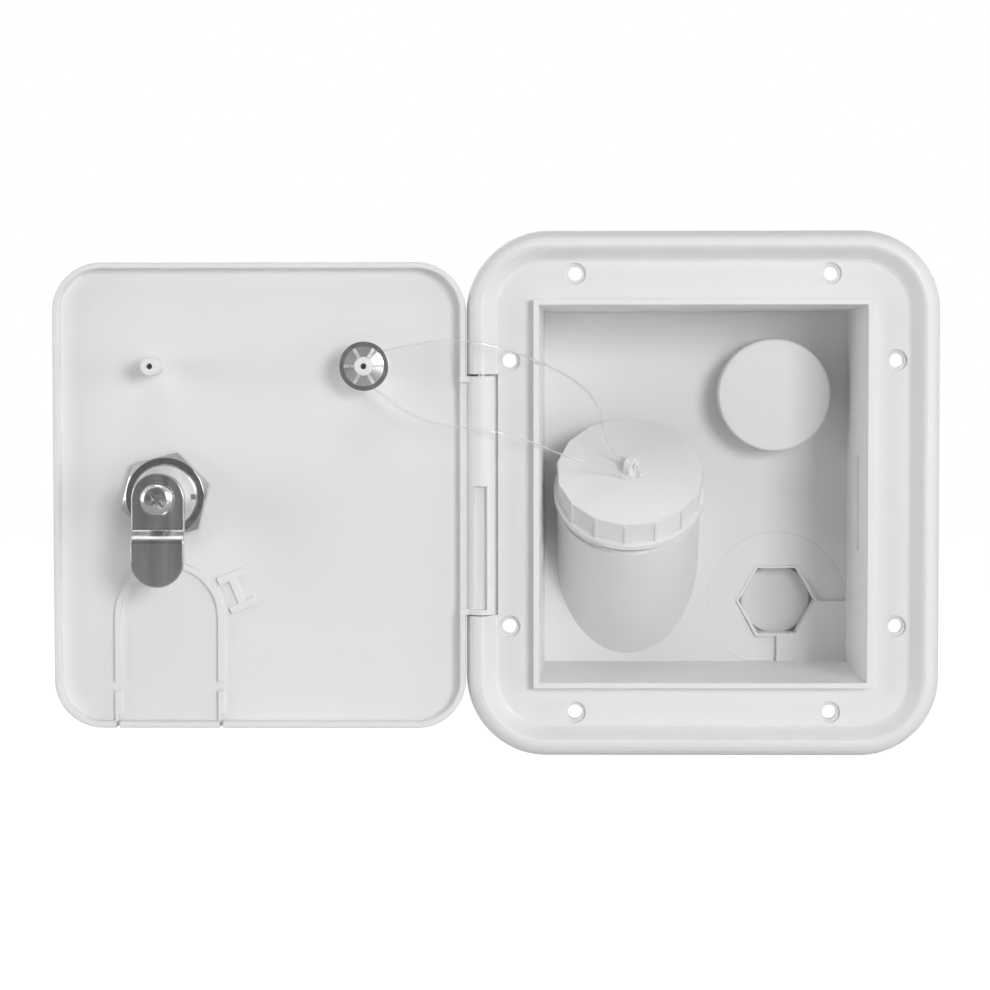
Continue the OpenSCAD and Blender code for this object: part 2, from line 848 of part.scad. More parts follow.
// Push-on washer: a flat rim and a dished centre, slotted into six fingers
module star_washer() {
    hole_r = post_r + snug;
    finger_slot = 1;
    color(steel) outward(door_x + post_x, star_y, door_z + post_z) difference() {
        rotate_extrude() polygon([
            [hole_r, star_rise], [star_rim, 0], [star_r, 0],
            [star_r, star_t], [star_rim, star_t], [hole_r, star_rise + star_t]
        ]);
        for (a = [0:60:300]) {
            rotate([0, 0, a]) translate([0, -finger_slot / 2, -over]) {
                cube([star_rim, finger_slot, 2 * over + star_rise + star_t]);
            }
        }
    }
}

// Wafer places, one after the other along the plug
function wafer_y(i) = bezel_back_y - first_wafer - wafer_pitch * i;

module wafer_body(gap) {
    half = gap == 0 ? wafer_half : wafer_half + over;
    square([wafer_w + 2 * gap, 2 * half], center = true);
}

module lock_plug() {
    color(steel) difference() {
        union() {
            on_lock(plug_front_y) cylinder(h = plug_head_t, r = plug_head_r);
            on_lock(plug_front_y) cylinder(h = plug_front_y - barrel_end_y, r = plug_r);
            on_lock(barrel_end_y) cylinder(h = barrel_end_y - cam_back_y, r = stem_r);
            on_lock(cam_back_y) linear_extrude(cam_t - drive_short) square(drive_w, center = true);
        }
        on_lock(bezel_front_y) translate([-key_w / 2, -key_h / 2, -over]) {
            cube([key_w, key_h, over + bezel_front_y - wafer_y(wafer_count - 1) + wafer_pitch]);
        }
        for (i = [0:wafer_count - 1]) {
            on_lock(wafer_y(i) + wafer_gap) linear_extrude(wafer_t + 2 * wafer_gap) {
                wafer_body(wafer_gap);
                translate([0, lug_h - spring_len]) {
                    square([wafer_w / 2 + lug_w + wafer_gap, spring_len + lug_h]);
                }
            }
            translate([lock_ax + spring_x, wafer_y(i) - wafer_t / 2, lock_az - spring_len + lug_h]) {
                cylinder(h = spring_len, r = spring_r + spring_wire / 2 + wafer_gap / 2);
            }
        }
        on_lock(cam_front_y + cam_screw_len) cylinder(h = cam_screw_len + over, r = cam_screw_r + snug);
    }
}

module lock_wafers() {
    key_gap = 0.3;
    color("goldenrod") for (i = [0:wafer_count - 1]) {
        on_lock(wafer_y(i)) linear_extrude(wafer_t) difference() {
            union() {
                wafer_body(0);
                translate([0, lug_h]) square([wafer_w / 2 + lug_w, lug_h]);
            }
            square([key_w + 2 * key_gap, key_h + key_gap], center = true);
        }
    }
}

module wafer_springs() {
    turns = 4;
    steps = 10;
    rise = spring_len - spring_wire - 2 * spring_gap;
    foot_z = lock_az - spring_len + lug_h + spring_wire / 2 + spring_gap;
    color(steel) for (i = [0:wafer_count - 1]) {
        base = [lock_ax + spring_x, wafer_y(i) - wafer_t / 2, foot_z];
        tube(
            [for (k = [0:turns * steps]) base + [
                (spring_r - spring_wire / 2) * cos(360 * k / steps),
                (spring_r - spring_wire / 2) * sin(360 * k / steps),
                rise * k / (turns * steps)
            ]],
            spring_wire / 2, 6
        );
    }
}

// Washer with the stop notch, on the end of the barrel
module stop_washer() {
    notch_w = 1.8;
    notch_depth = 2;
    color(steel) on_lock(barrel_end_y - running) difference() {
        cylinder(h = stop_t, r = stop_r);
        translate([0, 0, -over]) cylinder(h = stop_t + 2 * over, r = stem_r + snug);
        translate([stop_r - notch_depth, -notch_w / 2, -over]) {
            cube([2 * notch_depth, notch_w, stop_t + 2 * over]);
        }
    }
}

// Rounded corner between two sides of an outline
function bend(a, b, c, r) = let (
    u = unit(a - b),
    v = unit(c - b),
    half = acos(u * v) / 2,
    centre = b + unit(u + v) * r / sin(half),
    first = b + u * r / tan(half) - centre,
    last = b + v * r / tan(half) - centre
) [for (k = [0:4]) centre + r * unit((4 - k) * first + k * last)];

// One face of the cam, bent twice, as seen from its side
function cam_face(y, r1, r2) = let (
    bend_start = 10.2,
    bend_end = 13,
    far = cam_len + over,
    points = [[y, cam_w], [y, -bend_start], [y - cam_crank, -bend_end], [y - cam_crank, -far]]
) concat(
    [points[0]],
    bend(points[0], points[1], points[2], r1),
    bend(points[1], points[2], points[3], r2),
    [points[3]]
);

// Cranked cam: its side profile cut to the outline with two round ends
module cam() {
    inner_r = 0.8;
    outer_r = inner_r + cam_t;
    top_r = cam_w / 2;
    color(steel) difference() {
        intersection() {
            translate([lock_ax, 0, lock_az]) rotate([90, 0, 90]) {
                linear_extrude(cam_w + over, center = true) polygon(concat(
                    cam_face(cam_back_y, outer_r, inner_r),
                    reversed(cam_face(cam_front_y, inner_r, outer_r))
                ));
            }
            on_lock(cam_back_y + over) linear_extrude(cam_t + cam_crank + 2 * over) {
                circle(top_r);
                translate([-top_r, -cam_len + top_r]) square([cam_w, cam_len - top_r]);
                translate([0, -cam_len + top_r]) circle(top_r);
            }
        }
        on_lock(cam_back_y + over) linear_extrude(cam_t + 2 * over) {
            square(drive_w + 2 * snug, center = true);
        }
    }
}

// Split spring washer under the screw's head
module cam_washer() {
    washer_r = cam_head_r + 0.4;
    hole_gap = 0.2;
    split_w = 0.6;
    split_turn = 20;
    color(steel) on_lock(cam_front_y) difference() {
        cylinder(h = cam_washer_t, r = washer_r);
        translate([0, 0, -over]) cylinder(h = cam_washer_t + 2 * over, r = cam_screw_r + hole_gap);
        rotate([0, 0, split_turn]) translate([0, -split_w / 2, -over]) {
            cube([2 * washer_r, split_w, cam_washer_t + 2 * over]);
        }
    }
}

// Pan-head screw with a cross recess
module cam_screw() {
    head_y = cam_front_y - cam_washer_t;
    cross_w = 1.2;
    cross_len = 6.4;
    cross_depth = 2;
    cross_turn = 40;
    crown = 0.45;
    color(steel) difference() {
        union() {
            on_lock(head_y) rotate_extrude() polygon(concat(
                [[0, 0], [cam_head_r, 0]],
                [for (a = [0:15:90]) [
                    cam_head_r * (1 - crown + crown * cos(a)),
                    cam_head_h * (0.5 + 0.4 * sin(a))
                ]],
                [[0, cam_head_h]]
            ));
            on_lock(head_y + cam_screw_len - over) cylinder(h = cam_screw_len, r = cam_screw_r);
        }
        on_lock(head_y - cam_head_h + cross_depth) rotate([0, 0, cross_turn]) {
            linear_extrude(cross_depth + over) {
                square([cross_len, cross_w], center = true);
                square([cross_w, cross_len], center = true);
            }
            cylinder(h = cross_depth + over, r1 = 0.8 * cross_w, r2 = 1.5 * cross_w);
        }
    }
}

module cap_seal() {
    outer_gap = 0.2;
    inner_gap = 0.5;
    color(rubber) along_neck(neck_end) difference() {
        cylinder(h = seal_t, r = cap_bore_r - outer_gap);
        translate([0, 0, -over]) cylinder(h = seal_t + 2 * over, r = neck_bore_r + inner_gap);
    }
}

// Screw cap: faceted skirt with a rib at each corner, a round bead and a standing eye
module cap() {
    corner_turn = -94.5;
    corners = ngon(cap_r, cap_facets, corner_turn);
    grip_w = 0.9;
    grip_out = 0.35;
    grip_in = 1.5;
    grip_short = 0.8;
    bead_soft = 0.4;
    face_edge = 0.9;
    color(white) difference() {
        union() {
            along_neck(cap_at) linear_extrude(cap_face - cap_at) polygon(corners);
            along_neck(cap_at) linear_extrude(cap_face - cap_at - grip_short) for (p = corners) {
                translate(p) rotate(atan2(p.y, p.x)) translate([-grip_in, -grip_w / 2]) {
                    square([grip_in + grip_out, grip_w]);
                }
            }
            along_neck(cap_at) cylinder(h = bead_h, r = bead_r);
            along_neck(cap_at + bead_h) cylinder(h = bead_soft, r1 = bead_r, r2 = bead_r - bead_soft);
            along_neck(cap_face) cylinder(h = cap_cone, r1 = cap_r - face_edge, r2 = eye_r);
            eye();
        }
        along_neck(cap_at - over) cylinder(h = cap_face - cap_at - cap_top + over, r = cap_bore_r);
        along_neck(eye_at) rotate([0, 90, eye_turn]) {
            cylinder(h = 2 * eye_t, r = eye_hole_r, center = true);
        }
    }
}

module eye() {
    along_neck(eye_at) rotate([0, 90, eye_turn]) cylinder(h = eye_t, r = eye_r, center = true);
    along_neck(cap_face) rotate([0, 0, eye_turn]) {
        translate([-eye_t / 2, -eye_r, 0]) cube([eye_t, 2 * eye_r, eye_at - cap_face]);
    }
}

// Smooth line through the route's points
function blend_at(a, b, c, d, t) = 0.5 * (
    2 * b + (c - a) * t + (2 * a - 5 * b + 4 * c - d) * t * t + (3 * b - a - 3 * c + d) * t * t * t
);

function smooth(points, steps) = concat(
    [for (i = [0:len(points) - 2], k = [0:steps - 1]) blend_at(
        points[max(i - 1, 0)], points[i], points[i + 1],
        points[min(i + 2, len(points) - 1)], k / steps
    )],
    [points[len(points) - 1]]
);

function unit(v) = v / norm(v);

function tangent(line, i) = unit(line[min(i + 1, len(line) - 1)] - line[max(i - 1, 0)]);

// Direction across the line, carried from ring to ring without twist
function carried(n, t) = unit(n - (n * t) * t);

function across(line) = [
    for (
        i = 0, n = carried([0.3, 1, 0.2], tangent(line, 0));
        i < len(line);
        n = carried(n, tangent(line, min(i + 1, len(line) - 1))), i = i + 1
    ) n
];

// Round tube along a line, as one closed skin
module tube(line, r, sides) {
    last = len(line) - 1;
    n = across(line);
    rings = [
        for (i = [0:last], k = [0:sides - 1])
            let (side = cross(tangent(line, i), n[i]), a = 360 * k / sides)
                line[i] + r * (cos(a) * n[i] + sin(a) * side)
    ];
    polyhedron(rings, concat(
        [[for (k = [0:sides - 1]) k]],
        [[for (k = [sides - 1:-1:0]) last * sides + k]],
        [for (i = [0:last - 1], k = [0:sides - 1]) let (next = (k + 1) % sides) [
            i * sides + k, (i + 1) * sides + k, (i + 1) * sides + next, i * sides + next
        ]]
    ));
}

module tether() {
    color(nylon) tube(smooth(CORD_ROUTE, cord_steps), cord_d / 2, cord_sides);
}

housing();
filler_neck();
neck_gasket();
hinge_pin_upper();
hinge_pin_lower();
door_panel();
lock_housing();
lock_gasket();
lock_nut();
star_washer();
tether();
lock_plug();
lock_wafers();
wafer_springs();
stop_washer();
cam();
cam_washer();
cam_screw();
cap_seal();
cap();
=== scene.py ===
"""Fresh water fill inlet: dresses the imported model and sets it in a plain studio.

The housing lies on the caravan's wall with its door swung fully open. Everything is in metres,
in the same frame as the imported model: +X to the right, +Z up and -Y out of the wall.
"""

from __future__ import annotations

import json
import logging
import math
from dataclasses import dataclass, field
from enum import Enum

import bmesh
import bpy
from mathutils import Euler, Matrix, Vector

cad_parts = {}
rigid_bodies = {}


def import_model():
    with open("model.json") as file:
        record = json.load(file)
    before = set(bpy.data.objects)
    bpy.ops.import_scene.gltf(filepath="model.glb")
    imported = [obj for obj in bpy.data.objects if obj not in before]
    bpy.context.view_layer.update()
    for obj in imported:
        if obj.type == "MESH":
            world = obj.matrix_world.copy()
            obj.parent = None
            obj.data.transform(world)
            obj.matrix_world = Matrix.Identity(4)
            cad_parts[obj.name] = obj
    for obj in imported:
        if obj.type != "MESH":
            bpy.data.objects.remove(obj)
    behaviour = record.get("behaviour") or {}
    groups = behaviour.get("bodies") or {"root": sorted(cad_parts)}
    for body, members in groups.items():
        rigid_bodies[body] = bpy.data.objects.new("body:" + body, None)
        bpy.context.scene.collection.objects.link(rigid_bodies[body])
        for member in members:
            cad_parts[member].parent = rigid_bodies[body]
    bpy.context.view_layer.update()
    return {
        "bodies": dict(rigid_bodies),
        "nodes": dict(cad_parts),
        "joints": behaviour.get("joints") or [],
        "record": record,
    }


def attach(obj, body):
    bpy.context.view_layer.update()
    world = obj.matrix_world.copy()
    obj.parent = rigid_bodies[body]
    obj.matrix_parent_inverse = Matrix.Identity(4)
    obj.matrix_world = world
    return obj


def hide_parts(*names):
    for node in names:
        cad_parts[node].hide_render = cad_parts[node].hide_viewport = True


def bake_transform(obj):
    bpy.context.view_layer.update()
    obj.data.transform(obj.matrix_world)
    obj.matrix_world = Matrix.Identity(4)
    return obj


LOG = logging.getLogger("inlet")
MM = 0.001
NOISE_LOW, NOISE_HIGH = 0.3, 0.7
BEVEL_SAMPLES = 6
RIDGE_STEPS = 48

Point = tuple[float, float, float]
Colour = tuple[float, float, float]


class Body(str, Enum):
    """The bodies that pieces ride on."""

    HOUSING = "housing"
    DOOR = "door"
    LOCK = "lock"
    CAP = "cap"


class Lay(Enum):
    """Direction in which a metal part was rolled, brushed or turned."""

    NONE = (1.0, 1.0, 1.0)
    ALONG_Z = (1.0, 1.0, 0.04)
    ALONG_X = (0.04, 1.0, 1.0)


class Shader:
    """A material with one principled shader, and short calls that add nodes to it."""

    def __init__(self, name: str) -> None:
        """Starts the material.

        Args:
            name: Name of the material.
        """
        self.material = bpy.data.materials.new(name)
        self.material.use_nodes = True
        self.tree = self.material.node_tree
        self.tree.nodes.clear()
        self.output = self.tree.nodes.new("ShaderNodeOutputMaterial")
        self.surface = self.tree.nodes.new("ShaderNodeBsdfPrincipled")
        self.join(self.surface.outputs["BSDF"], self.output.inputs["Surface"])
        self.place = self.tree.nodes.new("ShaderNodeTexCoord").outputs["Object"]

    def join(self, source: bpy.types.NodeSocket, target: bpy.types.NodeSocket) -> None:
        """Links two sockets."""
        self.tree.links.new(source, target)

    def add(self, kind: str, **values: object) -> bpy.types.Node:
        """Adds a node.

        Args:
            kind: Blender's name of the node's type.
            **values: Input values by socket name, with underscores for spaces.

        Returns:
            The new node.
        """
        node = self.tree.nodes.new(kind)
        for key, value in values.items():
            node.inputs[key.replace("_", " ")].default_value = value
        return node

    def set(self, **values: object) -> None:
        """Sets constants on the shader's own sockets."""
        for key, value in values.items():
            self.surface.inputs[key.replace("_", " ")].default_value = value

    def noise(
        self, size: float, detail: float = 3.0, lay: Lay = Lay.NONE
    ) -> bpy.types.NodeSocket:
        """Adds noise on the object's own coordinates.

        Args:
            size: Size of its largest features in metres.
            detail: How many finer layers it has.
            lay: Direction along which it is drawn out.

        Returns:
            The noise's value socket.
        """
        mapping = self.add("ShaderNodeMapping", Scale=lay.value)
        self.join(self.place, mapping.inputs["Vector"])
        node = self.add("ShaderNodeTexNoise", Scale=1.0 / size, Detail=detail)
        self.join(mapping.outputs["Vector"], node.inputs["Vector"])
        return node.outputs[0]

    def spread(
        self, source: bpy.types.NodeSocket, low: float, high: float
    ) -> bpy.types.NodeSocket:
        """Maps the middle of a noise to a range.

        Args:
            source: The noise.
            low: Value where the noise is low.
            high: Value where the noise is high.

        Returns:
            The mapped value socket.
        """
        node = self.add("ShaderNodeMapRange", From_Min=NOISE_LOW, From_Max=NOISE_HIGH)
        node.inputs["To Min"].default_value = low
        node.inputs["To Max"].default_value = high
        self.join(source, node.inputs["Value"])
        return node.outputs["Result"]

    def shade(
        self, source: bpy.types.NodeSocket, dark: Colour, light: Colour
    ) -> bpy.types.NodeSocket:
        """Maps the middle of a noise to a range of colours.

        Args:
            source: The noise.
            dark: Colour where the noise is low.
            light: Colour where the noise is high.

        Returns:
            The colour socket.
        """
        node = self.add("ShaderNodeValToRGB")
        ramp = node.color_ramp.elements
        ramp[0].position, ramp[1].position = NOISE_LOW, NOISE_HIGH
        ramp[0].color, ramp[1].color = (*dark, 1.0), (*light, 1.0)
        self.join(source, node.inputs["Fac"])
        return node.outputs["Color"]

    def rounded(self, radius: float) -> bpy.types.NodeSocket:
        """Adds normals that look like edges rounded off.

        Args:
            radius: Radius of the edges in metres.

        Returns:
            The normal socket.
        """
        node = self.add("ShaderNodeBevel", Radius=radius)
        node.samples = BEVEL_SAMPLES
        return node.outputs["Normal"]

    def relief(
        self,
        height: bpy.types.NodeSocket,
        depth: float,
        strength: float,
        normal: bpy.types.NodeSocket | None = None,
    ) -> bpy.types.NodeSocket:
        """Adds a bump.

        Args:
            height: Value that gives the bump's height.
            depth: Height of the bump in metres.
            strength: How much of it shows.
            normal: Normal that it starts from.

        Returns:
            The bumped normal socket.
        """
        node = self.add("ShaderNodeBump", Distance=depth, Strength=strength)
        self.join(height, node.inputs["Height"])
        if normal is not None:
            self.join(normal, node.inputs["Normal"])
        return node.outputs["Normal"]

    def feed(self, **sockets: bpy.types.NodeSocket) -> None:
        """Links sockets to the shader's inputs of those names."""
        for key, socket in sockets.items():
            self.join(socket, self.surface.inputs[key.replace("_", " ")])


def scaled(colour: Colour, factor: float) -> Colour:
    """Gives a colour made lighter or darker by a factor."""
    return tuple(min(1.0, part * factor) for part in colour)


@dataclass(frozen=True)
class MouldedPlastic:
    """White plastic from a polished mould, with soft edges and a faint skin."""

    name: str
    colour: Colour
    gloss: tuple[float, float] = (0.42, 0.5)
    edge: float = 0.35 * MM

    def material(self) -> bpy.types.Material:
        """Builds the material.

        Returns:
            The material.
        """
        shader = Shader(self.name)
        tone = shader.noise(26 * MM, 2.0)
        shader.set(IOR=1.46)
        shader.feed(
            Base_Color=shader.shade(tone, scaled(self.colour, 0.985), self.colour),
            Roughness=shader.spread(shader.noise(5 * MM, 4.0), *self.gloss),
        )
        skin = shader.relief(
            shader.noise(0.35 * MM, 2.0), 0.01 * MM, 0.12, shader.rounded(self.edge)
        )
        shader.feed(Normal=shader.relief(shader.noise(30 * MM, 1.0), 1.2 * MM, 0.06, skin))
        return shader.material


@dataclass(frozen=True)
class PlatedMetal:
    """Metal with a plated or brushed face."""

    name: str
    colour: Colour
    gloss: tuple[float, float]
    lay: Lay = Lay.NONE
    grain: float = 0.5 * MM
    relief: float = 0.1
    edge: float = 0.2 * MM
    contrast: float = 0.12

    def material(self) -> bpy.types.Material:
        """Builds the material.

        Returns:
            The material.
        """
        shader = Shader(self.name)
        grain = shader.noise(self.grain, 4.0, self.lay)
        dark, light = 1.0 - self.contrast, 1.0 + self.contrast / 2
        shader.set(Metallic=1.0)
        shader.feed(
            Base_Color=shader.shade(grain, scaled(self.colour, dark), scaled(self.colour, light)),
            Roughness=shader.spread(shader.noise(3 * MM, 3.0, self.lay), *self.gloss),
            Normal=shader.relief(grain, 0.02 * MM, self.relief, shader.rounded(self.edge)),
        )
        return shader.material


@dataclass(frozen=True)
class Rubber:
    """Matt rubber with a fine skin."""

    name: str
    colour: Colour

    def material(self) -> bpy.types.Material:
        """Builds the material.

        Returns:
            The material.
        """
        shader = Shader(self.name)
        skin = shader.noise(0.3 * MM, 3.0)
        shader.set(IOR=1.5)
        shader.feed(
            Base_Color=shader.shade(skin, scaled(self.colour, 0.7), scaled(self.colour, 1.3)),
            Roughness=shader.spread(skin, 0.62, 0.8),
            Normal=shader.relief(skin, 0.03 * MM, 0.3, shader.rounded(0.15 * MM)),
        )
        return shader.material


@dataclass(frozen=True)
class ClearNylon:
    """Clear drawn nylon, a little cloudy along its length."""

    name: str
    colour: Colour

    def material(self) -> bpy.types.Material:
        """Builds the material.

        Returns:
            The material.
        """
        shader = Shader(self.name)
        cloud = shader.noise(2.5 * MM, 2.0)
        shader.set(IOR=1.53, Transmission_Weight=0.9)
        shader.feed(
            Base_Color=shader.shade(cloud, scaled(self.colour, 0.97), self.colour),
            Roughness=shader.spread(cloud, 0.06, 0.14),
        )
        return shader.material


@dataclass(frozen=True)
class Finishes:
    """Every finish of the inlet, built once."""

    shell: bpy.types.Material
    cap: bpy.types.Material
    chrome: bpy.types.Material
    nut: bpy.types.Material
    washer: bpy.types.Material
    ring: bpy.types.Material
    screw: bpy.types.Material
    cam: bpy.types.Material
    spring: bpy.types.Material
    pin: bpy.types.Material
    brass: bpy.types.Material
    rubber: bpy.types.Material
    nylon: bpy.types.Material

    @classmethod
    def build(cls) -> "Finishes":
        """Builds the materials.

        Returns:
            The finishes.
        """
        return cls(
            shell=MouldedPlastic("shell_plastic", (0.85, 0.85, 0.85)).material(),
            cap=MouldedPlastic(
                "cap_plastic", (0.88, 0.88, 0.88), (0.36, 0.44), 0.3 * MM
            ).material(),
            chrome=PlatedMetal("bright_plating", (0.78, 0.78, 0.79), (0.1, 0.18)).material(),
            nut=PlatedMetal("nut_zinc", (0.5, 0.5, 0.51), (0.08, 0.14)).material(),
            washer=PlatedMetal("washer_steel", (0.6, 0.6, 0.6), (0.14, 0.22)).material(),
            ring=PlatedMetal("ring_steel", (0.8, 0.8, 0.8), (0.4, 0.5)).material(),
            screw=PlatedMetal("screw_steel", (0.62, 0.62, 0.63), (0.12, 0.2)).material(),
            cam=PlatedMetal(
                "cam_steel", (0.5, 0.5, 0.5), (0.16, 0.26), Lay.ALONG_Z, 0.3 * MM, 0.2,
                edge=0.8 * MM, contrast=0.1,
            ).material(),
            spring=PlatedMetal("spring_steel", (0.55, 0.55, 0.56), (0.2, 0.3)).material(),
            pin=PlatedMetal("pin_steel", (0.6, 0.6, 0.6), (0.25, 0.35), Lay.ALONG_Z).material(),
            brass=PlatedMetal("wafer_brass", (0.72, 0.5, 0.22), (0.25, 0.38)).material(),
            rubber=Rubber("black_rubber", (0.025, 0.025, 0.025)).material(),
            nylon=ClearNylon("clear_nylon", (0.97, 0.97, 0.97)).material(),
        )


def dress(frame: dict, finish: bpy.types.Material, *names: str) -> None:
    """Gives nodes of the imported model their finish.

    Args:
        frame: The loaded model.
        finish: The material.
        *names: Names of the nodes.
    """
    for name in names:
        for slot in frame["nodes"][name].material_slots:
            slot.material = finish
        LOG.info("%s: %s", name, finish.name)


def finished_piece(
    name: str, mesh: bmesh.types.BMesh, finish: bpy.types.Material, smooth: bool = True
) -> bpy.types.Object:
    """Turns a bmesh into a piece whose object stays at the origin.

    Args:
        name: Name of the piece.
        mesh: The shape, in the row frame.
        finish: Its material.
        smooth: Whether its faces are smooth.

    Returns:
        The new object.
    """
    bmesh.ops.remove_doubles(mesh, verts=mesh.verts, dist=1e-6)
    bmesh.ops.recalc_face_normals(mesh, faces=mesh.faces)
    for face in mesh.faces:
        face.smooth = smooth
    data = bpy.data.meshes.new(name)
    mesh.to_mesh(data)
    mesh.free()
    data.materials.append(finish)
    piece = bpy.data.objects.new(name, data)
    bpy.context.scene.collection.objects.link(piece)
    return piece


@dataclass
class PhotoCamera:
    """The camera at the photograph's place, about a metre in front of the hatch."""

    place: Point = (-0.05458, -1.05990, 0.04947)
    turn: float = math.radians(0.859)
    dip: float = math.radians(2.706)
    lean: float = math.radians(0.052)
    focal_pixels: float = 3111.1
    picture_pixels: float = 990.0
    sensor: float = 36.0

    def build(self) -> bpy.types.Object:
        """Makes the camera and sets it as the scene's.

        Returns:
            The camera.
        """
        data = bpy.data.cameras.new("photo_camera")
        data.sensor_width = self.sensor
        data.lens = self.focal_pixels * self.sensor / self.picture_pixels
        data.clip_start, data.clip_end = 0.01, 20.0
        camera = bpy.data.objects.new("photo_camera", data)
        bpy.context.scene.collection.objects.link(camera)
        camera.location = self.place
        camera.rotation_euler = Euler((math.pi / 2 - self.dip, self.lean, self.turn))
        bpy.context.scene.camera = camera
        return camera


@dataclass
class Tether:
    """The clear cord from the cap's eye round the door's post and back."""

    route: tuple[Point, ...] = (
        (-24.0, 12.8, 9.3), (-27.0, 13.5, 10.6), (-30.0, 12.5, 14.0), (-33.0, 11.0, 20.0),
        (-34.5, 9.0, 27.0), (-38.5, 5.0, 34.0), (-46.0, -3.0, 40.0), (-55.0, -11.0, 44.5),
        (-66.0, -17.0, 49.0), (-78.0, -19.5, 51.5), (-91.0, -18.8, 51.5), (-99.0, -16.6, 50.2),
        (-105.8, -15.0, 48.8), (-111.9, -14.9, 47.5), (-115.5, -14.9, 47.9), (-118.3, -14.9, 45.8),
        (-118.8, -14.9, 42.2), (-116.6, -14.9, 39.3), (-111.0, -15.0, 36.0), (-103.0, -17.0, 30.0),
        (-91.0, -19.0, 24.5), (-77.0, -19.0, 22.5), (-65.0, -17.0, 20.5), (-54.0, -11.0, 16.0),
        (-44.0, -2.0, 12.0), (-36.0, 5.5, 9.0), (-30.0, 9.0, 6.5), (-24.5, 10.6, 4.6),
        (-20.6, 10.4, 5.6), (-20.8, 11.4, 7.9), (-23.4, 12.5, 9.1),
    )
    diameter: float = 0.6 * MM
    length: float = 0.250
    steps: int = 5
    sides: int = 14
    bend_start: Point = (-0.0511, -0.0175, 0.03)
    bend_end: Point = (-0.1103, -0.0175, 0.03)

    def line(self) -> list[Vector]:
        """Draws a smooth line through the route's points.

        Returns:
            Points of the cord's centre line, in metres.
        """
        points = [Vector(p) * MM for p in self.route]
        last = len(points) - 1
        line = []
        for i in range(last):
            a, b = points[max(i - 1, 0)], points[i]
            c, d = points[i + 1], points[min(i + 2, last)]
            for k in range(self.steps):
                t = k / self.steps
                line.append(
                    0.5 * (2 * b + (c - a) * t + (2 * a - 5 * b + 4 * c - d) * t**2
                           + (3 * b - a - 3 * c + d) * t**3)
                )
        line.append(points[last])
        return line

    def build(self, finish: bpy.types.Material) -> bpy.types.Object:
        """Args:
            finish: The cord's material.

        Returns:
            The cord.
        """
        line = self.line()
        mesh = bmesh.new()
        turned = Matrix.Identity(3)
        along = Vector((0, 0, 1))
        rings = []
        for i, centre in enumerate(line):
            ahead = (line[min(i + 1, len(line) - 1)] - line[max(i - 1, 0)]).normalized()
            turned = along.rotation_difference(ahead).to_matrix() @ turned
            along = ahead
            ring = bmesh.ops.create_circle(
                mesh, cap_ends=i in (0, len(line) - 1), segments=self.sides,
                radius=self.diameter / 2,
                matrix=Matrix.Translation(centre) @ turned.to_4x4(),
            )
            rings.append(ring["verts"])
        mesh.verts.ensure_lookup_table()
        for a, b in zip(rings, rings[1:]):
            edges = {e for v in (*a, *b) for e in v.link_edges}
            around = [
                e for e in edges
                if all(v in a for v in e.verts) or all(v in b for v in e.verts)
            ]
            bmesh.ops.bridge_loops(mesh, edges=around)
        cord = finished_piece("nylon_cord", mesh, finish)
        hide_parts("tether")
        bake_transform(cord)
        return cord


@dataclass
class NeckAxis:
    """The inclined axis of the filler neck, from the recess's back wall outwards."""

    root: Point = (-24.1, 46.0, -23.9)
    tilt: float = math.radians(45)

    def at(self, distance: float, turn: float = 0.0) -> Matrix:
        """Gives the matrix that puts a shape on the axis.

        Args:
            distance: Millimetres along the axis from the back wall.
            turn: Turn about the axis in radians.

        Returns:
            The matrix, in metres.
        """
        return (
            Matrix.Translation(Vector(self.root) * MM)
            @ Matrix.Rotation(self.tilt, 4, "X")
            @ Matrix.Translation((0, 0, distance * MM))
            @ Matrix.Rotation(turn, 4, "Z")
        )


def screw_ridge(
    section: list[tuple[float, float]], pitch: float, turns: float, place: Matrix
) -> bmesh.types.BMesh:
    """Winds a ridge's section up an axis.

    Args:
        section: Radius and height of the section's corners in millimetres.
        pitch: Rise of one turn in millimetres.
        turns: Number of turns.
        place: Matrix from the ridge's own axis to the row frame.

    Returns:
        The ridge as a closed shape.
    """
    mesh = bmesh.new()
    first_end = mesh.faces.new([mesh.verts.new((r * MM, 0, z * MM)) for r, z in section])
    bmesh.ops.duplicate(mesh, geom=[first_end])
    bmesh.ops.spin(
        mesh, geom=[first_end], cent=(0, 0, 0), axis=(0, 0, 1),
        dvec=(0, 0, pitch * MM / RIDGE_STEPS), angle=math.tau * turns,
        steps=round(RIDGE_STEPS * turns), use_merge=False, use_duplicate=False,
    )
    bmesh.ops.transform(mesh, matrix=place, verts=mesh.verts)
    return mesh


@dataclass
class ScrewCap:
    """The cap with its inner thread."""

    axis: NeckAxis = field(default_factory=NeckAxis)
    thread_foot: float = 32.2
    thread_start: float = math.radians(144)
    thread_turns: float = 1.2
    pitch: float = 4.0

    def build(self, frame: dict, finishes: Finishes) -> None:
        """Dresses the cap and its seal and adds the thread inside.

        Args:
            frame: The loaded model.
            finishes: The inlet's finishes.
        """
        dress(frame, finishes.cap, "cap")
        dress(frame, finishes.rubber, "cap_seal")
        section = [(23.0, 0.0), (22.25, 0.5), (22.25, 0.9), (23.0, 1.4)]
        place = self.axis.at(self.thread_foot, self.thread_start)
        ridge = screw_ridge(section, self.pitch, self.thread_turns, place)
        thread = finished_piece("cap_thread", ridge, finishes.cap)
        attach(thread, Body.CAP.value)
        LOG.info("cap_thread")


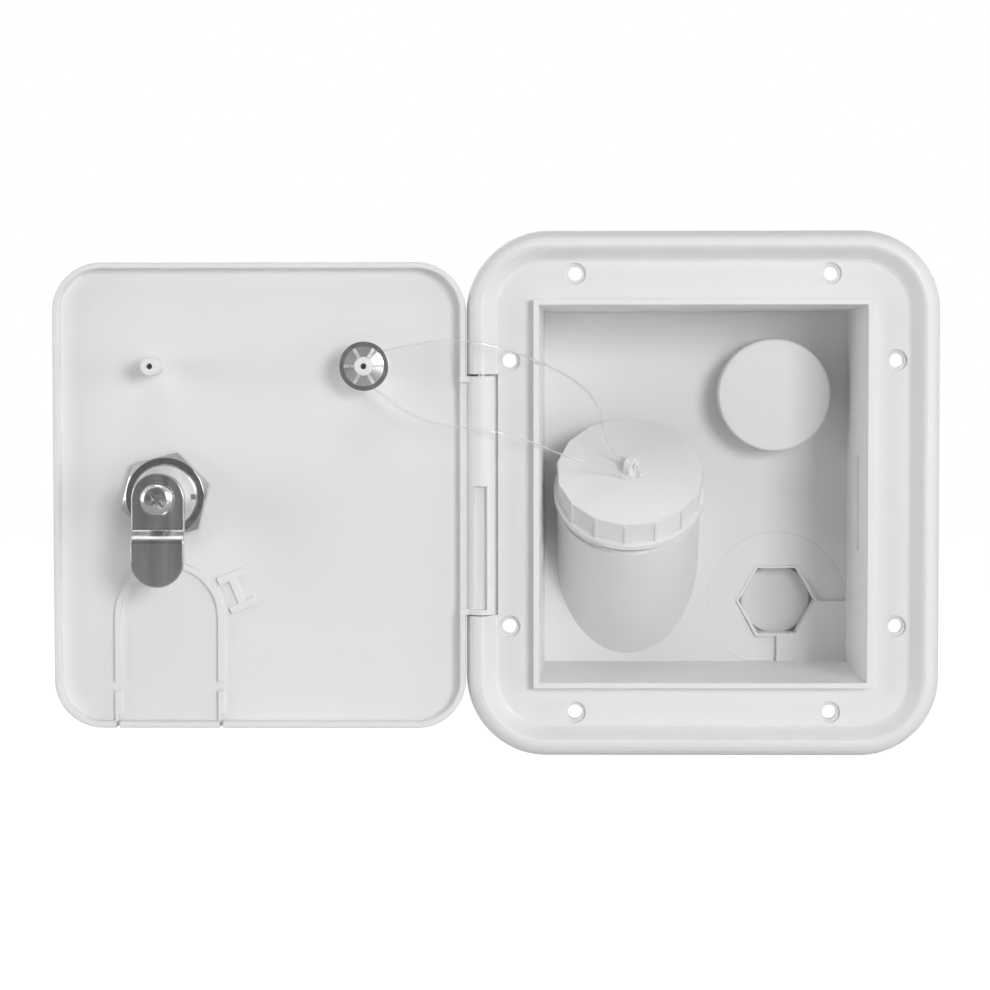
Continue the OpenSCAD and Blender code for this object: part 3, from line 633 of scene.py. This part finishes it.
@dataclass
class FillerNeck:
    """The neck with its outer thread, and the gasket under its collar."""

    axis: NeckAxis = field(default_factory=NeckAxis)
    thread_foot: float = 32.6
    thread_turns: float = 1.1
    pitch: float = 4.0

    def build(self, frame: dict, finishes: Finishes) -> None:
        """Dresses the neck and its gasket and adds the thread.

        Args:
            frame: The loaded model.
            finishes: The inlet's finishes.
        """
        dress(frame, finishes.shell, "filler_neck")
        dress(frame, finishes.rubber, "neck_gasket")
        section = [(21.9, 0.0), (21.9, 1.4), (22.65, 0.9), (22.65, 0.5)]
        place = self.axis.at(self.thread_foot)
        ridge = screw_ridge(section, self.pitch, self.thread_turns, place)
        thread = finished_piece("neck_thread", ridge, finishes.shell)
        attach(thread, Body.HOUSING.value)
        LOG.info("neck_thread")


@dataclass
class Housing:
    """The moulded housing and its hinge pins.

    The floor of the round pocket falls away from the back wall towards the lower right.
    """

    back: float = 46.0
    pocket_bottom: float = 48.9
    pocket_radius: float = 24.48
    pocket_foot: float = 21.5
    socket: tuple[float, float] = (29.0, -40.5)
    socket_flat: float = 12.66
    fall: float = 0.08
    fall_turn: float = math.radians(-51.5)
    fall_start: float = -13.5
    floor_turn: float = math.radians(270)
    floor_steps: int = 180
    floor_rings: int = 16
    floor_lift: float = 0.02

    def build(self, frame: dict, finishes: Finishes) -> None:
        """Dresses the housing and its pins and lays the floor in the pocket.

        Args:
            frame: The loaded model.
            finishes: The inlet's finishes.
        """
        dress(frame, finishes.shell, "housing")
        dress(frame, finishes.pin, "hinge_pin_upper", "hinge_pin_lower")
        floor = finished_piece("pocket_floor", self.pocket_floor(), finishes.shell, False)
        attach(floor, Body.HOUSING.value)
        LOG.info("pocket_floor")

    def pocket_floor(self) -> bmesh.types.BMesh:
        """Builds the wedge between the hexagon socket and the pocket's round wall.

        Returns:
            The wedge as a closed shape.
        """
        mesh = bmesh.new()
        bmesh.ops.create_grid(
            mesh, x_segments=self.floor_steps, y_segments=self.floor_rings, size=0.5
        )
        for vert in mesh.verts:
            vert.co = self.on_floor((vert.co.x + 0.5) * self.floor_turn, vert.co.y + 0.5)
        under = bmesh.ops.extrude_face_region(mesh, geom=mesh.faces[:])["geom"]
        for item in under:
            if isinstance(item, bmesh.types.BMVert):
                item.co.y = self.pocket_bottom * MM
        return mesh

    def on_floor(self, turn: float, share: float) -> Vector:
        """Finds a point of the falling floor.

        Args:
            turn: Angle about the socket's axis.
            share: Share of the way from the socket to the round wall.

        Returns:
            The point, in metres.
        """
        outer = self.pocket_radius
        if math.sin(turn) < 0:
            outer = min(outer, self.pocket_foot / -math.sin(turn))
        inner = self.socket_flat / math.cos(turn % (math.pi / 3) - math.pi / 6)
        out = Vector((math.cos(turn), math.sin(turn))) * (inner + (outer - inner) * share)
        falls = Vector((math.cos(self.fall_turn), math.sin(self.fall_turn)))
        depth = max(0.0, self.fall * (out.dot(falls) - self.fall_start))
        y = self.back + self.floor_lift + depth
        return Vector((self.socket[0] + out.x, y, self.socket[1] + out.y)) * MM


@dataclass
class Door:
    """The door with what stands on its inner face."""

    def build(self, frame: dict, finishes: Finishes) -> None:
        """Dresses the door and the washer that keeps the cord."""
        dress(frame, finishes.shell, "door_panel")
        dress(frame, finishes.washer, "star_washer")


@dataclass
class CamLock:
    """The cam lock, from its bezel to the screw of its cam."""

    def build(self, frame: dict, finishes: Finishes) -> None:
        """Dresses the lock.

        Args:
            frame: The loaded model.
            finishes: The inlet's finishes.
        """
        dress(frame, finishes.chrome, "lock_housing", "lock_plug")
        dress(frame, finishes.nut, "lock_nut")
        dress(frame, finishes.ring, "stop_washer")
        dress(frame, finishes.screw, "cam_washer", "cam_screw")
        dress(frame, finishes.cam, "cam")
        dress(frame, finishes.spring, "wafer_springs")
        dress(frame, finishes.brass, "lock_wafers")
        dress(frame, finishes.rubber, "lock_gasket")


@dataclass(frozen=True)
class Softbox:
    """A square studio lamp."""

    name: str
    place: Point
    size: float
    power: float

    def build(self, aim: Vector) -> None:
        """Makes the lamp and turns it to a point."""
        data = bpy.data.lights.new(self.name, "AREA")
        data.shape = "SQUARE"
        data.size = self.size
        data.energy = self.power
        lamp = bpy.data.objects.new(self.name, data)
        bpy.context.scene.collection.objects.link(lamp)
        lamp.location = self.place
        lamp.rotation_euler = (aim - Vector(self.place)).to_track_quat("-Z", "Y").to_euler()


@dataclass
class Studio:
    """Pale floor, soft lamps and a white background."""

    aim: Point = (-0.06, 0.0, 0.0)
    floor_height: float = -0.26
    floor_half: float = 4.0
    floor_glow: float = 1.15
    floor_white: float = 0.86
    lamps: tuple[Softbox, ...] = (
        Softbox("key_lamp", (1.05, -2.5, 0.5), 0.85, 31.0),
        Softbox("left_lamp", (-2.4, -1.0, 0.1), 1.4, 20.0),
        Softbox("right_lamp", (2.4, -1.0, 0.1), 1.4, 18.5),
        Softbox("top_lamp", (-0.05, -1.0, 2.4), 1.4, 12.5),
        Softbox("back_lamp", (-0.9, 2.3, 0.9), 1.4, 22.0),
    )
    room: float = 0.14
    around: tuple[float, float, float, float] = (-0.92, -0.62, 0.2, 1.0)
    ceiling: tuple[float, float, float, float] = (0.78, 0.95, 1.0, 0.2)

    def build(self) -> None:
        """Makes the floor, the lamps and the world."""
        self.floor()
        self.world()
        for lamp in self.lamps:
            lamp.build(Vector(self.aim))

    def floor(self) -> None:
        """Makes the floor, which the camera sees as white where nothing shades it."""
        mesh = bmesh.new()
        bmesh.ops.create_grid(
            mesh, x_segments=1, y_segments=1, size=self.floor_half,
            matrix=Matrix.Translation((0, 0, self.floor_height)),
        )
        shader = Shader("studio_floor")
        shader.set(Roughness=0.8, Base_Color=(0.8, 0.8, 0.8, 1.0))
        glow = shader.add(
            "ShaderNodeEmission", Strength=self.floor_glow, Color=(1.0, 1.0, 1.0, 1.0)
        )
        lit = shader.add("ShaderNodeMixShader")
        path = shader.add("ShaderNodeLightPath")
        seen = shader.add("ShaderNodeMath")
        seen.operation = "MULTIPLY"
        seen.inputs[1].default_value = self.floor_white
        shader.join(path.outputs["Is Camera Ray"], seen.inputs[0])
        shader.join(seen.outputs[0], lit.inputs["Fac"])
        shader.join(shader.surface.outputs["BSDF"], lit.inputs[1])
        shader.join(glow.outputs["Emission"], lit.inputs[2])
        shader.join(lit.outputs["Shader"], shader.output.inputs["Surface"])
        finished_piece("studio_floor", mesh, shader.material, False)

    def world(self) -> None:
        """Makes a plain room, white where the camera sees it and dim in front for reflections."""
        world = bpy.data.worlds.new("studio_room")
        world.use_nodes = True
        bpy.context.scene.world = world
        tree = world.node_tree
        tree.nodes.clear()
        output = tree.nodes.new("ShaderNodeOutputWorld")
        room = tree.nodes.new("ShaderNodeBackground")
        path = tree.nodes.new("ShaderNodeLightPath")
        direction = tree.nodes.new("ShaderNodeTexCoord")
        split = tree.nodes.new("ShaderNodeSeparateXYZ")
        mirror = tree.nodes.new("ShaderNodeMath")
        around = tree.nodes.new("ShaderNodeMapRange")
        ceiling = tree.nodes.new("ShaderNodeMapRange")
        dimmed = tree.nodes.new("ShaderNodeMath")
        lit = tree.nodes.new("ShaderNodeMix")
        seen = tree.nodes.new("ShaderNodeMix")
        room.inputs["Color"].default_value = (1.0, 1.0, 1.0, 1.0)
        mirror.operation = "MAXIMUM"
        dimmed.operation = "MULTIPLY"
        for band, limits in ((around, self.around), (ceiling, self.ceiling)):
            for name, value in zip(("From Min", "From Max", "To Min", "To Max"), limits):
                band.inputs[name].default_value = value
        lit.inputs["A"].default_value = self.room
        seen.inputs["B"].default_value = 1.0
        links = tree.links.new
        links(direction.outputs["Generated"], split.inputs["Vector"])
        links(split.outputs["Y"], around.inputs["Value"])
        links(split.outputs["Z"], ceiling.inputs["Value"])
        links(around.outputs["Result"], dimmed.inputs[0])
        links(ceiling.outputs["Result"], dimmed.inputs[1])
        links(path.outputs["Is Glossy Ray"], mirror.inputs[0])
        links(path.outputs["Is Transmission Ray"], mirror.inputs[1])
        links(mirror.outputs[0], lit.inputs["Factor"])
        links(dimmed.outputs[0], lit.inputs["B"])
        links(path.outputs["Is Camera Ray"], seen.inputs["Factor"])
        links(lit.outputs["Result"], seen.inputs["A"])
        links(seen.outputs["Result"], room.inputs["Strength"])
        links(room.outputs["Background"], output.inputs["Surface"])


def main() -> None:
    """Builds the inlet and its studio in order."""
    logging.basicConfig(level=logging.INFO, format="%(name)s: %(message)s")
    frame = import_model()
    bpy.context.scene.view_settings.view_transform = "Standard"
    PhotoCamera().build()
    finishes = Finishes.build()
    cord = Tether().build(finishes.nylon)
    LOG.info("%s: %d faces", cord.name, len(cord.data.polygons))
    Housing().build(frame, finishes)
    Door().build(frame, finishes)
    CamLock().build(frame, finishes)
    FillerNeck().build(frame, finishes)
    ScrewCap().build(frame, finishes)
    Studio().build()


if __name__ == "__main__":
    main()
